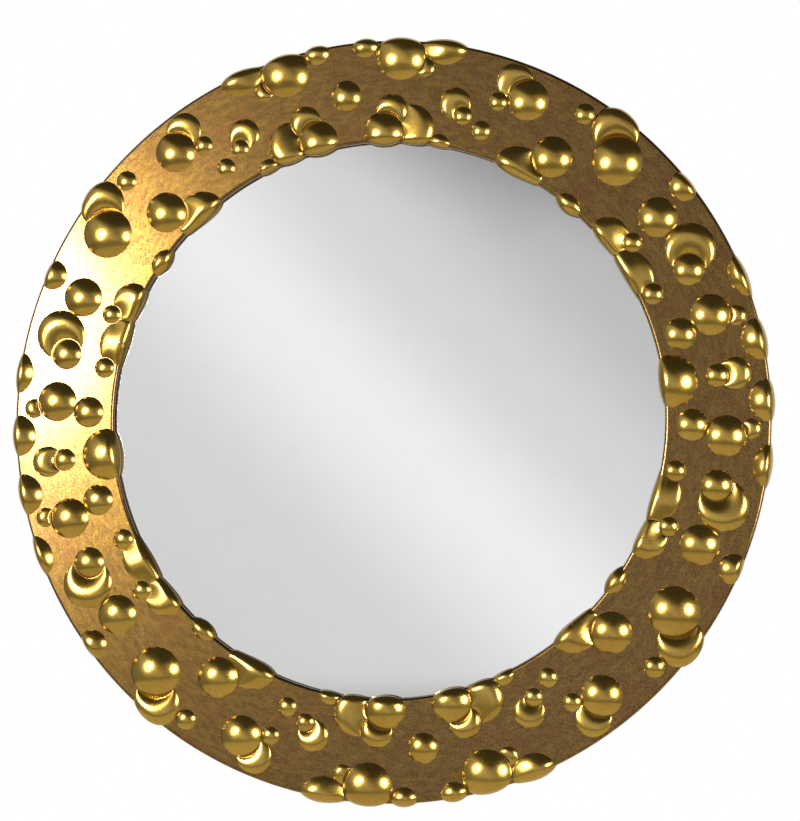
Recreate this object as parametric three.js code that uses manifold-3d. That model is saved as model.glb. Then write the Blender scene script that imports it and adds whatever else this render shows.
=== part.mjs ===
// Convex butlers mirror: a round glass in a wide flat ring that is covered with polished domes.
// Units are millimetres. The pieces are laid out on the mirror's own axes, with x to the right,
// y up and z towards the room, and z = 0 is the wall. The last lines turn them so that +Z is up.
import * as THREE from 'three';
import { mergeVertices } from 'three/addons/utils/BufferGeometryUtils.js';
import Module from 'manifold-3d';

const wasm = await Module();
wasm.setup();

// ---- Driving dimensions -------------------------------------------------------------------

// Relief ring, cast in four quarters, two of each hand
const SIGHT_RADIUS = 365;        // inner edge of the ring, where the glass starts to show
const BAND_WIDTH = 135;          // from there to the ring's outer edge
const CASTING_DEPTH = 24;
const LIP_DEPTH = 7;             // of the lip that covers the glass's edge
const EDGE_ROUND = 4;            // rounding of the face's two edges
const PATTERN_TURN = 6.8;        // degrees that the pattern of domes is turned to the left
const DOME_EDGE_ANGLE = 45;      // degrees between a dome and the face where they meet
const DOME_SINK = 2;             // how far a dome reaches into the casting, so that the two fuse
const MOST_OVERHANG = 40;        // more than any dome stands out from the ring

// Glass and what packs it
const GLASS_LAP = 11;            // how far the ring's lip covers the glass
const GLASS_THICKNESS = 4;
const GLASS_BULGE = 22;          // height of the glass's middle over its edge
const REBATE_PLAY = 2;           // around the glass, in the castings' rebate
const CUSHION_THICKNESS = 1.5;
const CUSHION_WIDTH = 9;
const SPACER_WIDTH = 14;

// Back
const BACKING_THICKNESS = 15;
const BACKING_INSET = 10;        // of the backing ring's outer edge, behind the castings' edge
const BACKING_PLAY = 8;          // between the glass's edge and the bore of the backing ring
const PANEL_THICKNESS = 4;

// Turn buttons
const BUTTON_COUNT = 8;
const BUTTON_FIRST_ANGLE = 22.5;
const BUTTON_REACH = 26;         // from the screw's centre to the far round end's centre
const BUTTON_WIDTH = 13;
const BUTTON_THICKNESS = 3;
const BUTTON_INSET = 12;         // of the button's screw, outside the bore of the backing ring

// Screws, pan heads
const BUTTON_SCREW = { headRadius: 5, headHeight: 2.6, shankRadius: 2, length: 16 };
const CASTING_SCREW = { headRadius: 5, headHeight: 2.6, shankRadius: 2.25, length: 28 };
const STRAP_SCREW = { headRadius: 3.6, headHeight: 2, shankRadius: 1.75, length: 13 };
const CASTING_SCREW_INSET = 48;  // from the outer edge of the ring
const CASTING_SCREW_ANGLES = [22.5, 67.5];
const SCREW_TIP = 3;

// Hangers
const HANGER_ANGLE = 45;         // of the D ring's bar, on the middle of the backing ring
const D_RING_RADIUS = 16;
const D_RING_WIRE = 2;           // radius
const STRAP_WIDTH = 18;
const STRAP_THICKNESS = 1.5;
const STRAP_LENGTH = 44;
const STRAP_SCREW_INSETS = [19, 7];  // from the strap's lower end

// Bumpers, which keep the hangers off the wall
const BUMPER_HEIGHT = 10;
const BUMPER_RADIUS = 10;
const BUMPER_TAPER = 1.5;
const BUMPER_ANGLES = { upper_left: 100, upper_right: 80, lower_left: -125, lower_right: -55 };

// Clearances
const SEAT = 0.3;                // between pieces that touch on the real object
const RUNNING = 0.3;             // around a screw or a bar that something turns on

// How finely round shapes are stepped
const RING_STEPS = 48;
const GLASS_RINGS = 4;
const SCREW_STEPS = 8;
const BUMPER_STEPS = 12;
const BUTTON_END_STEPS = 5;

// The domes of one quarter, from the pattern's level axis (0 degrees) to its upright axis (90).
// angle is in degrees, across is the place on the band, from 0 at the sight edge to 1 at the
// outer edge, and size is the radius of the dome's outline on the face. A dome that lies over an
// edge of the ring swells past that edge by its overhang. A dome drops away around each dome
// that is named in its row of under.
const DOMES = {
  level_inner: { angle: 0, across: 0.078, size: 34, overhang: 8.5 },
  level_outer: { angle: 0, across: 0.689, size: 20.5, under: ['level_middle'] },
  level_middle: { angle: 0, across: 0.515, size: 15 },
  rim_bowl: { angle: 4.6, across: 1, size: 28.5, overhang: 6.5 },
  rim_bead: { angle: 8.9, across: 0.811, size: 13, under: ['first_ball'] },
  first_ball: { angle: 10.2, across: 0.578, size: 26.5 },
  first_mate: { angle: 8.5, across: 0.252, size: 20.5 },
  rim_sliver: { angle: 14.3, across: 1.096, size: 33, overhang: 6.5 },
  moon_ball: { angle: 18.6, across: 0.548, size: 20.5 },
  moon: { angle: 21.6, across: 0.652, size: 33, under: ['moon_ball'] },
  sight_bead: { angle: 17.4, across: 0.141, size: 13.5 },
  sight_swell: { angle: 22.8, across: -0.004, size: 34.5, overhang: 11.5, under: ['sight_bead', 'valley_bead'] },
  valley_bead: { angle: 27.9, across: 0.222, size: 12.5 },
  rim_egg: { angle: 30.4, across: 0.937, size: 20, overhang: 3 },
  second_ball: { angle: 28.9, across: 0.556, size: 26 },
  sight_shoulder: { angle: 31.6, across: 0.067, size: 26.5, overhang: 6, under: ['valley_bead'] },
  great_ball: { angle: 40.6, across: 0.637, size: 33 },
  great_moon: { angle: 44, across: 0.863, size: 31.5, overhang: 13.5, under: ['great_ball'] },
  stray_bead: { angle: 49.4, across: 0.811, size: 13.5 },
  sight_almond: { angle: 42, across: -0.056, size: 22, overhang: 11 },
  third_ball: { angle: 50.1, across: 0.293, size: 27 },
  sight_wave: { angle: 54.6, across: -0.004, size: 34.5, overhang: 13, under: ['third_ball'] },
  fourth_ball: { angle: 58.6, across: 0.674, size: 27 },
  small_moon: { angle: 61.8, across: 0.8, size: 23.5, under: ['fourth_ball', 'moon_bead'] },
  moon_bead: { angle: 63.2, across: 0.559, size: 12 },
  lone_bead: { angle: 64.4, across: 0.241, size: 12.5 },
  cup_bead: { angle: 68.5, across: 0.333, size: 12 },
  cup: { angle: 70.4, across: 0.437, size: 20.5, under: ['cup_bead'] },
  rim_loaf: { angle: 73.8, across: 1.019, size: 31, overhang: 11, under: ['crown'] },
  crown_bead: { angle: 76.5, across: 0.744, size: 12.5, under: ['crown', 'rim_loaf'] },
  crown: { angle: 80.6, across: 0.848, size: 32.5, overhang: 7 },
  rim_pearl: { angle: 86.2, across: 0.97, size: 17.5, overhang: 7 },
  sight_lens: { angle: 71.9, across: -0.004, size: 15.5, overhang: 4, under: ['sight_hill'] },
  sight_hill: { angle: 77.9, across: 0.144, size: 30.5, overhang: 7, under: ['sight_pearl', 'sight_moon'] },
  sight_moon: { angle: 81.8, across: 0.319, size: 20.5, under: ['sight_pearl'] },
  sight_pearl: { angle: 83.4, across: 0.1, size: 26, overhang: 7 },
  upright_ball: { angle: 90, across: 0.485, size: 20 },
};

// ---- Radii and levels that follow from these ---------------------------------------------------

const RING_RADIUS = SIGHT_RADIUS + BAND_WIDTH;
const GLASS_RADIUS = SIGHT_RADIUS + GLASS_LAP;
const BACKING_BORE_RADIUS = GLASS_RADIUS + BACKING_PLAY;
const BACKING_OUTER_RADIUS = RING_RADIUS - BACKING_INSET;
const BACKING_MIDDLE_RADIUS = (BACKING_BORE_RADIUS + BACKING_OUTER_RADIUS) / 2;
const BUTTON_SCREW_RADIUS = BACKING_BORE_RADIUS + BUTTON_INSET;
const CASTING_SCREW_RADIUS = RING_RADIUS - CASTING_SCREW_INSET;

// Levels along z, from the wall towards the room
const BACK_Z = BUMPER_HEIGHT + SEAT;
const BACKING_FRONT_Z = BACK_Z + BACKING_THICKNESS;
const CASTING_BACK_Z = BACKING_FRONT_Z + SEAT;
const FACE_Z = CASTING_BACK_Z + CASTING_DEPTH;
const LIP_BACK_Z = FACE_Z - LIP_DEPTH;
const CUSHION_FRONT_Z = LIP_BACK_Z - SEAT;
const CUSHION_BACK_Z = CUSHION_FRONT_Z - CUSHION_THICKNESS;
const PANEL_FRONT_Z = BACK_Z + PANEL_THICKNESS;

const GLASS_CURVE_RADIUS = (GLASS_RADIUS ** 2 + GLASS_BULGE ** 2) / (2 * GLASS_BULGE);
const CUSHION_INNER_RADIUS = GLASS_RADIUS - CUSHION_WIDTH;

// How far the glass's front lies behind its middle at a given distance from the axis
function glassDrop(radius) {
  return GLASS_CURVE_RADIUS - Math.sqrt(GLASS_CURVE_RADIUS ** 2 - radius ** 2);
}
const GLASS_MIDDLE_Z = CUSHION_BACK_Z - SEAT + glassDrop(CUSHION_INNER_RADIUS);
const GLASS_EDGE_BACK_Z = GLASS_MIDDLE_Z - glassDrop(GLASS_RADIUS) - GLASS_THICKNESS;

// ---- Solids: three.js geometry in, manifold booleans, three.js geometry out -------------------

const radians = THREE.MathUtils.degToRad;

// The shared vertices are merged first, and triangles that lose an edge by it are left out
function solid(geometry) {
  const plain = geometry.index ? geometry.toNonIndexed() : geometry.clone();
  plain.deleteAttribute('normal');
  plain.deleteAttribute('uv');
  const merged = mergeVertices(plain, 1e-4);
  const corners = merged.index.array;
  const kept = [];
  for (let i = 0; i < corners.length; i += 3) {
    const [a, b, c] = [corners[i], corners[i + 1], corners[i + 2]];
    if (a !== b && b !== c && c !== a) kept.push(a, b, c);
  }
  const mesh = new wasm.Mesh({
    numProp: 3,
    vertProperties: new Float32Array(merged.attributes.position.array),
    triVerts: new Uint32Array(kept),
  });
  return new wasm.Manifold(mesh);
}

function geometryOf(manifold) {
  const mesh = manifold.getMesh();
  const geometry = new THREE.BufferGeometry();
  geometry.setAttribute('position', new THREE.BufferAttribute(new Float32Array(mesh.vertProperties), 3));
  geometry.setIndex(new THREE.BufferAttribute(new Uint32Array(mesh.triVerts), 1));
  return geometry;
}

// A profile of [radius, z] points, turned about the z axis. The points go round the solid with
// the axis on their left where they rise, so that its faces look outwards.
function turned(points, steps) {
  const profile = points.map(([radius, z]) => new THREE.Vector2(radius, z));
  const geometry = new THREE.LatheGeometry(profile, steps);
  return geometry.rotateX(Math.PI / 2);
}

// A ring of rectangular section between two radii and two levels
function flatRing(inner, outer, low, high) {
  return turned([[inner, low], [outer, low], [outer, high], [inner, high], [inner, low]], RING_STEPS);
}

// A cylinder along z that starts at low
function post(radius, low, high, steps, x = 0, y = 0) {
  const geometry = new THREE.CylinderGeometry(radius, radius, high - low, steps);
  return geometry.rotateX(Math.PI / 2).translate(x, y, (low + high) / 2);
}

function onCircle(radius, degrees) {
  return [radius * Math.cos(radians(degrees)), radius * Math.sin(radians(degrees))];
}

// ---- Relief castings ---------------------------------------------------------------------

// The face runs flat between its two rounded edges and then down the ring's walls. A place on it
// is measured from the axis, as if the walls were folded out flat.
function foldOverEdges(distance) {
  const flatEnd = RING_RADIUS - EDGE_ROUND;
  const flatStart = SIGHT_RADIUS + EDGE_ROUND;
  const quarterTurn = (EDGE_ROUND * Math.PI) / 2;
  const past = Math.max(distance - flatEnd, flatStart - distance, 0);
  const side = distance > flatEnd ? 1 : -1;
  const bend = Math.min(past, quarterTurn) / EDGE_ROUND;
  const down = Math.max(past - quarterTurn, 0);
  const from = side > 0 ? flatEnd : flatStart;
  if (past === 0) return { radius: distance, z: FACE_Z, normalOut: 0, normalZ: 1 };
  return {
    radius: from + side * EDGE_ROUND * Math.sin(bend),
    z: FACE_Z - EDGE_ROUND * (1 - Math.cos(bend)) - down,
    normalOut: side * Math.sin(bend),
    normalZ: Math.cos(bend),
  };
}

function domeRadius(dome) {
  return SIGHT_RADIUS + dome.across * BAND_WIDTH;
}

// Height of a dome at a distance from its middle: a cap of a sphere
function capHeight(size, away) {
  const edge = radians(DOME_EDGE_ANGLE);
  const sphere = size / Math.sin(edge);
  return Math.sqrt(Math.max(sphere ** 2 - away ** 2, 0)) - sphere * Math.cos(edge);
}

// How much stronger or weaker a dome swells sideways, so that it passes the edge by its overhang
function overhangScale(dome) {
  if (!dome.overhang) return 1;
  const toOuter = Math.max(RING_RADIUS - domeRadius(dome), 0);
  const toInner = Math.max(domeRadius(dome) - SIGHT_RADIUS, 0);
  return dome.overhang / capHeight(dome.size, Math.min(toOuter, toInner));
}

// Lays a shape that stands at x = y = 0 on a flat face over the ring, at the dome's place
function layOnRing(geometry, dome) {
  const position = geometry.attributes.position;
  const [middleX, middleY] = onCircle(domeRadius(dome), dome.angle);
  const sideways = overhangScale(dome);
  for (let i = 0; i < position.count; i += 1) {
    const x = middleX + position.getX(i);
    const y = middleY + position.getY(i);
    const height = position.getZ(i);
    const place = foldOverEdges(Math.hypot(x, y));
    const swell = height > 0 ? sideways : 1;
    const radius = place.radius + height * place.normalOut * swell;
    const direction = Math.atan2(y, x);
    position.setXYZ(i, radius * Math.cos(direction), radius * Math.sin(direction), place.z + height * place.normalZ);
  }
  return geometry;
}

function domeSteps(size) {
  if (size > 24) return { around: 16, up: 3 };
  if (size > 14) return { around: 14, up: 3 };
  return { around: 10, up: 2 };
}

function domeSolid(dome) {
  const { around, up } = domeSteps(dome.size);
  const profile = [[0, -DOME_SINK], [dome.size, -DOME_SINK]];
  for (let i = 0; i <= up; i += 1) {
    const away = i === up ? 0 : dome.size * Math.sin(((1 - i / up) * Math.PI) / 2);
    profile.push([away, capHeight(dome.size, away)]);
  }
  return solid(layOnRing(turned(profile, around), dome));
}

// What a dome loses around a neighbour that stands before it: a cone that opens upwards
function moatSolid(front) {
  const { around } = domeSteps(front.size);
  const depth = front.size;
  const profile = [
    [0, -DOME_SINK],
    [front.size, -DOME_SINK],
    [front.size, 0],
    [front.size + depth, depth],
    [0, depth],
  ];
  const [x, y] = onCircle(domeRadius(front), front.angle);
  return solid(turned(profile, around).translate(x, y, FACE_Z));
}

// The room that the domes and the ring may fill. Its floor is the castings' back, which steps up
// to the back of the lip over the glass.
function castingRoom() {
  const rebateRadius = GLASS_RADIUS + REBATE_PLAY;
  const inner = SIGHT_RADIUS - MOST_OVERHANG;
  const outer = RING_RADIUS + MOST_OVERHANG;
  const top = FACE_Z + MOST_OVERHANG;
  return solid(turned([
    [inner, LIP_BACK_Z],
    [rebateRadius, LIP_BACK_Z],
    [rebateRadius, CASTING_BACK_Z],
    [outer, CASTING_BACK_Z],
    [outer, top],
    [inner, top],
    [inner, LIP_BACK_Z],
  ], RING_STEPS));
}

// The space between the pattern's level axis and its upright axis, less half a seam on each side
function quarterWedge() {
  const half = SEAT / 2;
  const reach = 2 * RING_RADIUS;
  const wedge = new THREE.BoxGeometry(reach, reach, reach);
  return solid(wedge.translate(half + reach / 2, half + reach / 2, 0));
}

function ringBlank() {
  const below = CASTING_BACK_Z - EDGE_ROUND;
  return solid(turned([
    [SIGHT_RADIUS, below],
    [RING_RADIUS, below],
    [RING_RADIUS, FACE_Z - EDGE_ROUND],
    [RING_RADIUS - EDGE_ROUND, FACE_Z],
    [SIGHT_RADIUS + EDGE_ROUND, FACE_Z],
    [SIGHT_RADIUS, FACE_Z - EDGE_ROUND],
    [SIGHT_RADIUS, below],
  ], RING_STEPS));
}

function castingQuarter() {
  let quarter = ringBlank();
  for (const dome of Object.values(DOMES)) {
    let shape = domeSolid(dome);
    for (const name of dome.under ?? []) shape = shape.subtract(moatSolid(DOMES[name]));
    quarter = quarter.add(shape);
  }
  quarter = quarter.intersect(castingRoom()).intersect(quarterWedge());
  for (const degrees of CASTING_SCREW_ANGLES) {
    const [x, y] = onCircle(CASTING_SCREW_RADIUS, degrees);
    const deep = BACK_Z + CASTING_SCREW.length + SEAT;
    const hole = post(CASTING_SCREW.shankRadius + SEAT, CASTING_BACK_Z - SEAT, deep, SCREW_STEPS, x, y);
    quarter = quarter.subtract(solid(hole));
  }
  return quarter;
}

// The same solid for the other hand: mirrored left to right, with its triangles turned round
function mirrored(geometry) {
  const copy = geometry.clone();
  copy.scale(-1, 1, 1);
  const corners = copy.index.array;
  for (let i = 0; i < corners.length; i += 3) {
    [corners[i], corners[i + 1]] = [corners[i + 1], corners[i]];
  }
  return copy;
}

// ---- Screws and other hardware ------------------------------------------------------------

// A pan-head screw along z that enters at z = 0 and points into the frame, towards +z
function screwGeometry(screw) {
  return turned([
    [0, -screw.headHeight],
    [screw.headRadius / 2, -screw.headHeight],
    [screw.headRadius, -screw.headHeight / 2],
    [screw.headRadius, 0],
    [screw.shankRadius, 0],
    [screw.shankRadius, screw.length - SCREW_TIP],
    [0, screw.length],
  ], SCREW_STEPS);
}

function screwHole(screw, x, y, low) {
  return solid(post(screw.shankRadius + RUNNING, low, BACK_Z + screw.length + SEAT, SCREW_STEPS, x, y));
}

// A flat bar with round ends: one end on its screw, the other over the back panel
function buttonGeometry() {
  const half = BUTTON_WIDTH / 2;
  const bar = new THREE.Shape();
  bar.moveTo(0, -half);
  bar.absarc(0, 0, half, -Math.PI / 2, Math.PI / 2, false);
  bar.lineTo(-BUTTON_REACH, half);
  bar.absarc(-BUTTON_REACH, 0, half, Math.PI / 2, (3 * Math.PI) / 2, false);
  bar.lineTo(0, -half);
  const hole = new THREE.Path();
  hole.absarc(0, 0, BUTTON_SCREW.shankRadius + RUNNING, 0, 2 * Math.PI, true);
  bar.holes.push(hole);
  return new THREE.ExtrudeGeometry(bar, {
    depth: BUTTON_THICKNESS,
    bevelEnabled: false,
    curveSegments: BUTTON_END_STEPS,
  });
}

// ---- Materials ---------------------------------------------------------------------------

function finish(color, roughness, metalness) {
  return () => new THREE.MeshStandardMaterial({ color, roughness, metalness });
}
const goldLeaf = finish(0x8f6f33, 0.3, 0.9);
const silvering = finish(0xd2d2d4, 0.03, 1);
const plywood = finish(0xa98256, 0.75, 0);
const hardboard = finish(0x5b4433, 0.85, 0);
const corkFoam = finish(0x3a3530, 0.9, 0);
const brass = finish(0xb8913f, 0.35, 0.9);
const zincSteel = finish(0xb4b6b3, 0.35, 0.9);
const blackRubber = finish(0x1c1c1c, 0.8, 0);

// ---- Assembly ----------------------------------------------------------------------------

const mirror = new THREE.Group();

function place(name, geometry, material, parent = mirror) {
  const mesh = new THREE.Mesh(geometry, material());
  mesh.name = name;
  parent.add(mesh);
  return mesh;
}

// Castings: each hand twice, turned half round for the second time
const pattern = new THREE.Group();
pattern.rotation.z = radians(PATTERN_TURN);
mirror.add(pattern);
const rightHand = geometryOf(castingQuarter());
const leftHand = mirrored(rightHand);
const CASTINGS = [
  { name: 'upper_right', geometry: rightHand, turn: 0 },
  { name: 'upper_left', geometry: leftHand, turn: 0 },
  { name: 'lower_left', geometry: rightHand, turn: Math.PI },
  { name: 'lower_right', geometry: leftHand, turn: Math.PI },
];
for (const { name, geometry, turn } of CASTINGS) {
  const casting = place(`relief_casting_${name}`, geometry.clone(), goldLeaf, pattern);
  casting.rotation.z = turn;
}

// Backing ring, with a hole for each screw that it takes
const castingScrews = [];
for (let quarter = 0; quarter < 4; quarter += 1) {
  for (const degrees of CASTING_SCREW_ANGLES) castingScrews.push(quarter * 90 + degrees + PATTERN_TURN);
}
const strapScrewDrops = STRAP_SCREW_INSETS.map((inset) => STRAP_LENGTH - inset);
const [hangerX, hangerY] = onCircle(BACKING_MIDDLE_RADIUS, HANGER_ANGLE);
const buttonAngles = Array.from({ length: BUTTON_COUNT }, (_, i) => BUTTON_FIRST_ANGLE + (i * 360) / BUTTON_COUNT);
let backing = solid(flatRing(BACKING_BORE_RADIUS, BACKING_OUTER_RADIUS, BACK_Z, BACKING_FRONT_Z));
const under = BACK_Z - SEAT;
for (const degrees of castingScrews) {
  backing = backing.subtract(screwHole(CASTING_SCREW, ...onCircle(CASTING_SCREW_RADIUS, degrees), under));
}
for (const degrees of buttonAngles) {
  const depth = BUTTON_SCREW.length - BUTTON_THICKNESS - SEAT;
  const screw = { ...BUTTON_SCREW, length: depth };
  backing = backing.subtract(screwHole(screw, ...onCircle(BUTTON_SCREW_RADIUS, degrees), under));
}
for (const side of [-1, 1]) {
  for (const drop of strapScrewDrops) {
    backing = backing.subtract(screwHole(STRAP_SCREW, side * hangerX, hangerY - drop, under));
  }
}
place('backing_ring', geometryOf(backing), plywood);

// Glass, its cushion, the spacer behind it and the back panel
function glassGeometry() {
  const radii = Array.from({ length: GLASS_RINGS + 1 }, (_, i) => (GLASS_RADIUS * i) / GLASS_RINGS);
  const front = radii.map((radius) => [radius, GLASS_MIDDLE_Z - glassDrop(radius)]);
  const back = radii.map((radius) => [radius, GLASS_MIDDLE_Z - glassDrop(radius) - GLASS_THICKNESS]);
  return turned([...back, ...front.reverse()], RING_STEPS);
}
place('mirror_glass', glassGeometry(), silvering);
place('front_cushion', flatRing(CUSHION_INNER_RADIUS, GLASS_RADIUS, CUSHION_BACK_Z, CUSHION_FRONT_Z), corkFoam);
const spacerFront = GLASS_EDGE_BACK_Z - SEAT;
place('glass_spacer', flatRing(GLASS_RADIUS - SPACER_WIDTH, GLASS_RADIUS, PANEL_FRONT_Z + SEAT, spacerFront), corkFoam);
place('back_panel', post(BACKING_BORE_RADIUS - SEAT, BACK_Z, PANEL_FRONT_Z, RING_STEPS).rotateZ(Math.PI / 2), hardboard);

// Casting screws
castingScrews.forEach((degrees, i) => {
  const [x, y] = onCircle(CASTING_SCREW_RADIUS, degrees);
  place(`casting_screw_${i + 1}`, screwGeometry(CASTING_SCREW), zincSteel).position.set(x, y, BACK_Z - SEAT);
});

// Turn buttons, each on its own screw
buttonAngles.forEach((degrees, i) => {
  const [x, y] = onCircle(BUTTON_SCREW_RADIUS, degrees);
  const button = place(`turn_button_${i + 1}`, buttonGeometry(), brass);
  button.position.set(x, y, BACK_Z - SEAT - BUTTON_THICKNESS);
  button.rotation.z = radians(degrees);
  const screw = place(`button_screw_${i + 1}`, screwGeometry(BUTTON_SCREW), zincSteel);
  screw.position.set(x, y, BACK_Z - SEAT - BUTTON_THICKNESS - RUNNING);
});

// Strap hangers: the strap's end is rolled round the bar of the D ring
const rollInner = D_RING_WIRE + RUNNING;
const rollOuter = rollInner + STRAP_THICKNESS;
const barZ = BACK_Z - SEAT - rollOuter;

function strapGeometry() {
  const along = (geometry) => geometry.rotateZ(Math.PI / 2);
  const roll = solid(along(new THREE.CylinderGeometry(rollOuter, rollOuter, STRAP_WIDTH, 16)));
  const bore = solid(along(new THREE.CylinderGeometry(rollInner, rollInner, 2 * STRAP_WIDTH, 16)));
  const leaf = new THREE.BoxGeometry(STRAP_WIDTH, STRAP_LENGTH, STRAP_THICKNESS);
  leaf.translate(0, -STRAP_LENGTH / 2, rollOuter - STRAP_THICKNESS / 2);
  let strap = roll.add(solid(leaf)).subtract(bore);
  for (const drop of strapScrewDrops) {
    const hole = post(STRAP_SCREW.shankRadius + RUNNING, 0, 2 * rollOuter, SCREW_STEPS, 0, -drop);
    strap = strap.subtract(solid(hole));
  }
  return geometryOf(strap);
}

// A D ring standing up from its bar: half a torus and the bar across it
function dRingGeometry() {
  const ring = solid(new THREE.TorusGeometry(D_RING_RADIUS, D_RING_WIRE, 8, 32));
  const upper = new THREE.BoxGeometry(4 * D_RING_RADIUS, 2 * D_RING_RADIUS, 4 * D_RING_WIRE);
  const bow = ring.intersect(solid(upper.translate(0, D_RING_RADIUS, 0)));
  const bar = new THREE.CylinderGeometry(D_RING_WIRE, D_RING_WIRE, 2 * (D_RING_RADIUS + D_RING_WIRE), 12);
  return geometryOf(bow.add(solid(bar.rotateZ(Math.PI / 2))));
}

for (const { name, side } of [{ name: 'left', side: -1 }, { name: 'right', side: 1 }]) {
  const x = side * hangerX;
  place(`hanger_strap_${name}`, strapGeometry(), zincSteel).position.set(x, hangerY, barZ);
  place(`d_ring_${name}`, dRingGeometry(), zincSteel).position.set(x, hangerY, barZ);
  strapScrewDrops.forEach((drop, i) => {
    const screw = place(`strap_screw_${name}_${i + 1}`, screwGeometry(STRAP_SCREW), zincSteel);
    screw.position.set(x, hangerY - drop, barZ + rollOuter - STRAP_THICKNESS - SEAT);
  });
}

// Bumpers on the back
function bumperGeometry() {
  return turned([
    [0, 0],
    [BUMPER_RADIUS - BUMPER_TAPER, 0],
    [BUMPER_RADIUS, BUMPER_HEIGHT],
    [0, BUMPER_HEIGHT],
  ], BUMPER_STEPS);
}
for (const [name, degrees] of Object.entries(BUMPER_ANGLES)) {
  const [x, y] = onCircle(BACKING_MIDDLE_RADIUS, degrees);
  place(`bumper_${name}`, bumperGeometry(), blackRubber).position.set(x, y, 0);
}

// The origin is on the wall, between the two places where the D rings hang on their hooks
const hangHeight = hangerY + D_RING_RADIUS - D_RING_WIRE;
mirror.position.set(0, 0, -hangHeight);
mirror.rotation.x = Math.PI / 2;
const part = new THREE.Group();
part.add(mirror);

export default part;
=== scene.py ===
# %% [markdown]
# Convex butlers mirror: the look of the whole piece.
#
# The object is a round, slightly bulging glass in a wide flat ring. The ring is laid with gold
# leaf and covered with polished domes that look like drops of metal. This script loads the
# measured parts as a fixed frame and then dresses them: each visible piece gets a fine mesh and
# a finish made of shader nodes. Everything is in metres, +Z is up and the wall is the plane
# Y = 0, so the room lies towards -Y.

# %% Load the frame
import math

import bmesh
import bpy
import numpy as np
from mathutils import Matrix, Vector


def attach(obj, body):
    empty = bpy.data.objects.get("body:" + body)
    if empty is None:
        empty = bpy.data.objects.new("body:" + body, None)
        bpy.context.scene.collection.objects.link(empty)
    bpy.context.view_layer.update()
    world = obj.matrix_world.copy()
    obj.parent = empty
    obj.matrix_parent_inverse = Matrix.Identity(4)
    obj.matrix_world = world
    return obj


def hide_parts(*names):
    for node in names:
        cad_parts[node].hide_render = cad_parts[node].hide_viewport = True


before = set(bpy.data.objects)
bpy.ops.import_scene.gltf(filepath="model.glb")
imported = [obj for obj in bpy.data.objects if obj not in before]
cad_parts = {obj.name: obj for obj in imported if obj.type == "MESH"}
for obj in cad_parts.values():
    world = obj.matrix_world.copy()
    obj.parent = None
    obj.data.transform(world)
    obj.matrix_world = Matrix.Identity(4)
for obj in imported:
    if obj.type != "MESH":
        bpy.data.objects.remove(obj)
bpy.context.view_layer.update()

# %% [markdown]
# The camera comes first, because every later choice is judged through it.
#
# The photograph was taken a little from the right and a little from below, which shows in two
# things: the ring's outline is a slightly tilted ellipse, and the domes that stand past the rim
# stand out more on the left. The lens and the place were fitted to the two edges of the ring,
# which is more exact than finding them by trial.

# %% Camera
MM = 0.001
MIRROR_MIDDLE = Vector((0, -0.0496, -0.3230))
CAMERA_FROM_MIDDLE = Vector((0.469, -2.964, -0.176))
CAMERA_YAW = math.radians(8.6)
CAMERA_PITCH = math.radians(3.55)
LEVEL = math.radians(90)
FOCAL_PER_WIDTH = 2300 / 800
SENSOR_WIDTH = 36

scene = bpy.context.scene
lens = bpy.data.cameras.new("photo_camera")
lens.sensor_fit = "HORIZONTAL"
lens.sensor_width = SENSOR_WIDTH
lens.lens = SENSOR_WIDTH * FOCAL_PER_WIDTH
camera = bpy.data.objects.new("photo_camera", lens)
camera.location = MIRROR_MIDDLE + CAMERA_FROM_MIDDLE
camera.rotation_euler = (LEVEL + CAMERA_PITCH, 0, CAMERA_YAW)
scene.collection.objects.link(camera)
scene.camera = camera
scene.view_settings.view_transform = "Standard"
print("camera", tuple(round(c, 3) for c in camera.location), "lens", round(lens.lens, 1))

# %% [markdown]
# The room. Polished gold has almost no colour of its own: it shows what stands around it. The
# domes of the photograph show two soft lamps, a dark ceiling, a pale wall behind the camera and
# a pale floor. The lamps and the floor are real things here, because they light the piece and
# keep working from other sides. The wall and the ceiling only need to be mirrored, so they are
# painted in the world by direction. Behind the mirror everything is white, as in the photograph.
#
# Each lamp is an oval sheet of light. A real lamp box is hottest near its bulb, so the left one
# has a small bright heart, which is what whitens the leaf on the left of the ring.

# %% Lamps
# Place from the mirror's middle, width, height and brightness
LAMPS = {
    "left_lamp": ((-1.58, -2.0, 0.28), 1.2, 1.35, 8),
    "left_lamp_heart": ((-1.2, -2.05, 0.35), 0.44, 0.5, 64),
    "right_lamp": ((2.1, -1.64, 0.04), 1.15, 1.25, 16),
}


def soft_lamp(name, place, width, height, brightness):
    """An oval lamp behind a cloth, aimed at the mirror. brightness is how bright it looks."""
    light = bpy.data.lights.new(name, "AREA")
    light.shape = "ELLIPSE"
    light.size, light.size_y = width, height
    oval_area = math.pi / 4 * width * height
    light.energy = brightness * math.pi * oval_area
    lamp = bpy.data.objects.new(name, light)
    lamp.location = MIRROR_MIDDLE + Vector(place)
    lamp.rotation_euler = Vector(place).to_track_quat("Z", "Y").to_euler()
    scene.collection.objects.link(lamp)
    return lamp


lamps = [soft_lamp(name, *values) for name, values in LAMPS.items()]
print(len(lamps), "lamps")

# %% [markdown]
# Small helpers for finishes. A finish is a tree of shader nodes, and writing each link by hand
# hides the recipe, so a tree is built here from short calls.

# %% Node helpers
def node(tree, kind, values=None, plugs=None, **settings):
    """A shader node with its settings, its fixed socket values and its incoming links."""
    made = tree.nodes.new(f"ShaderNode{kind}")
    for key, value in settings.items():
        setattr(made, key, value)
    for key, value in (values or {}).items():
        made.inputs[key].default_value = value
    for key, source in (plugs or {}).items():
        tree.links.new(source, made.inputs[key])
    return made


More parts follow.
